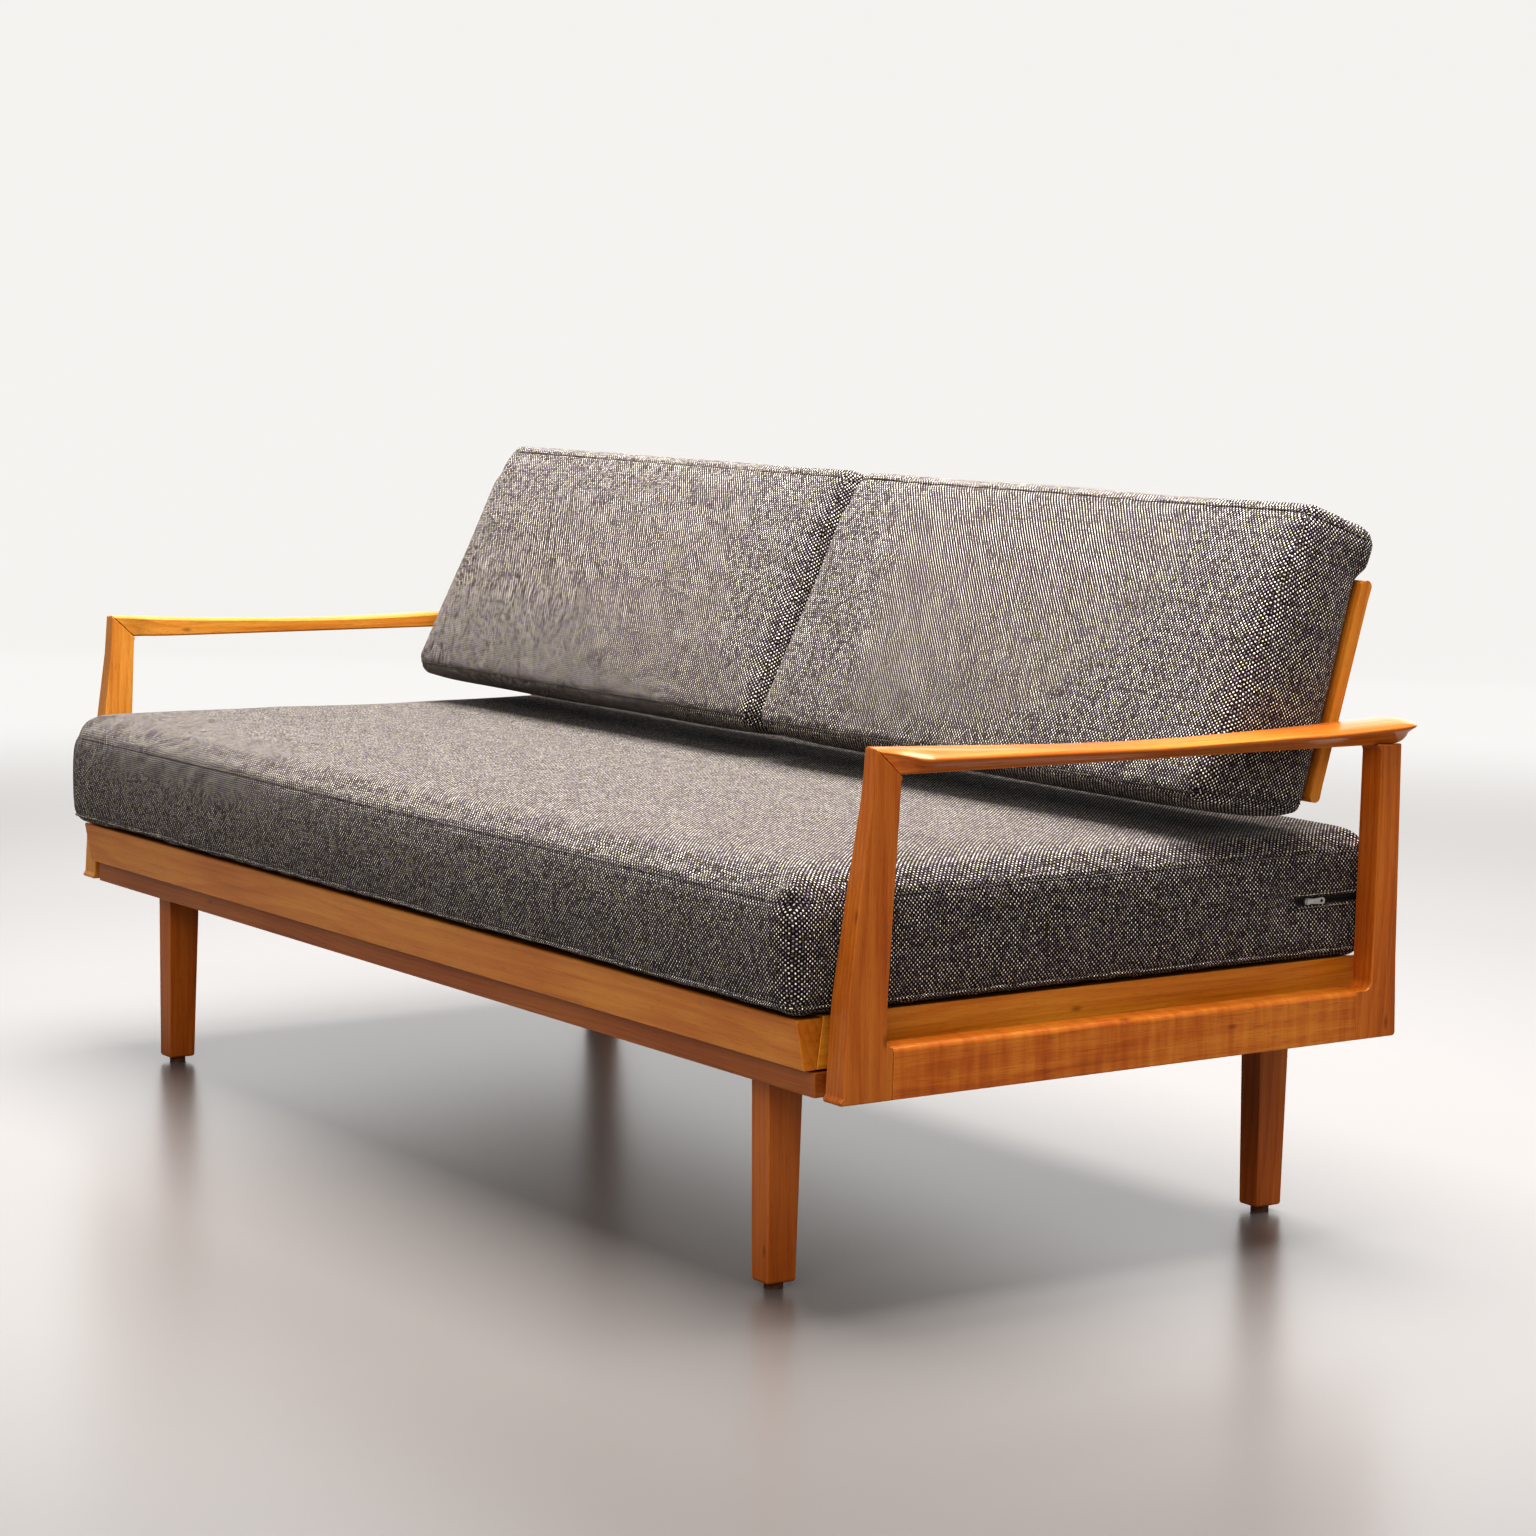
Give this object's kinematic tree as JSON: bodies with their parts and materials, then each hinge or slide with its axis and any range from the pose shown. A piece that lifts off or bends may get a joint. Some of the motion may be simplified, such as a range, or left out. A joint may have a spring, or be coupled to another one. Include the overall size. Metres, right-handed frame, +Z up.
{
  "type": "pull-out daybed",
  "caption": "Wooden pull-out daybed with sculpted open arms, a sliding mattress frame and a tilting backrest that carries wedge cushions.",
  "frame": {"origin": "on the floor, below the middle of the whole daybed's outline", "axes": "+X to the sitter's left along the length (right in a front view), +Y to the back, +Z up; the front faces -Y"},
  "size_m": [1.972, 0.856, 0.8636],
  "materials": {
    "arm_wood": "satin lacquered cherry, orange-brown",
    "base_wood": "satin lacquered cherry",
    "seat_wood": "satin lacquered cherry, golden tan",
    "leg_wood": "satin lacquered cherry, reddish brown",
    "back_wood": "satin lacquered cherry",
    "slat_wood": "planed beech, unfinished",
    "dowel_wood": "turned beech",
    "glide_plastic": "brown, matt",
    "steel": "zinc-plated",
    "brass_screws": "plain",
    "mattress_fabric": "coarse flecked weave",
    "cushion_fabric": "coarse flecked weave",
    "zip_fabric": "woven tape",
    "zip_metal": "nickel-plated"
  },
  "bodies": {
    "base": {"base_front_rail": "base_wood", "base_rear_rail": "base_wood", "base_end_rail_left": "base_wood", "base_end_rail_right": "base_wood", "base_centre_rail": "base_wood", "slide_guide_left": "slat_wood", "slide_guide_right": "slat_wood", "leg_front_left": "leg_wood", "leg_front_right": "leg_wood", "leg_rear_left": "leg_wood", "leg_rear_right": "leg_wood", "leg_glides": "glide_plastic", "leg_bolts": "steel", "arm_bolts": "steel", "backrest_pivots": "steel", "backrest_spacers": "steel", "arm_front_post_left": "arm_wood", "arm_front_post_right": "arm_wood", "arm_rear_post_left": "arm_wood", "arm_rear_post_right": "arm_wood", "arm_lower_rail_left": "arm_wood", "arm_lower_rail_right": "arm_wood", "armrest_left": "arm_wood", "armrest_right": "arm_wood", "arm_dowels": "dowel_wood"},
    "seat": {"seat_front_rail": "seat_wood", "seat_rear_rail": "seat_wood", "seat_side_rail_left": "seat_wood", "seat_side_rail_right": "seat_wood", "seat_runner_left": "slat_wood", "seat_runner_right": "slat_wood", "seat_centre_runner": "slat_wood", "seat_stop_blocks": "slat_wood", "seat_slat_1": "slat_wood", "seat_slat_2": "slat_wood", "seat_slat_3": "slat_wood", "seat_slat_4": "slat_wood", "seat_slat_5": "slat_wood", "seat_slat_6": "slat_wood", "seat_slat_7": "slat_wood", "seat_slat_8": "slat_wood", "slat_screws": "brass_screws", "mattress": "mattress_fabric", "zip_tape": "zip_fabric"},
    "zip_slider": {"zip_slider": "zip_metal"},
    "zip_pull": {"zip_pull": "zip_metal"},
    "backrest": {"backrest_stile_left": "back_wood", "backrest_stile_right": "back_wood", "backrest_stile_centre": "back_wood", "backrest_top_rail": "back_wood", "backrest_bottom_rail": "back_wood", "backrest_slat_left_upper": "back_wood", "backrest_slat_left_lower": "back_wood", "backrest_slat_right_upper": "back_wood", "backrest_slat_right_lower": "back_wood"},
    "cushion_left": {"cushion_left": "cushion_fabric"},
    "cushion_right": {"cushion_right": "cushion_fabric"}
  },
  "joints": [
    {"name": "seat_slide", "type": "slide", "parent": "base", "child": "seat", "axis": [0, -1, 0], "range_m": [0, 0.22]},
    {"name": "backrest_tilt", "type": "hinge", "parent": "base", "child": "backrest", "pos_m": [0, 0.341, 0.605], "axis": [-1, 0, 0], "range_deg": [0, 10]},
    {"name": "cushion_left_lift", "type": "slide", "parent": "backrest", "child": "cushion_left", "axis": [0, 0.284, 0.9588], "range_m": [0, 0.15]},
    {"name": "cushion_right_lift", "type": "slide", "parent": "backrest", "child": "cushion_right", "axis": [0, 0.284, 0.9588], "range_m": [0, 0.15]},
    {"name": "zip_slide", "type": "slide", "parent": "seat", "child": "zip_slider", "axis": [0, 1, 0], "range_m": [0, 0.036]},
    {"name": "zip_pull_swing", "type": "hinge", "parent": "zip_slider", "child": "zip_pull", "pos_m": [0.9336, 0.2995, 0.409], "axis": [0, 0, -1], "range_deg": [0, 90]}
  ]
}
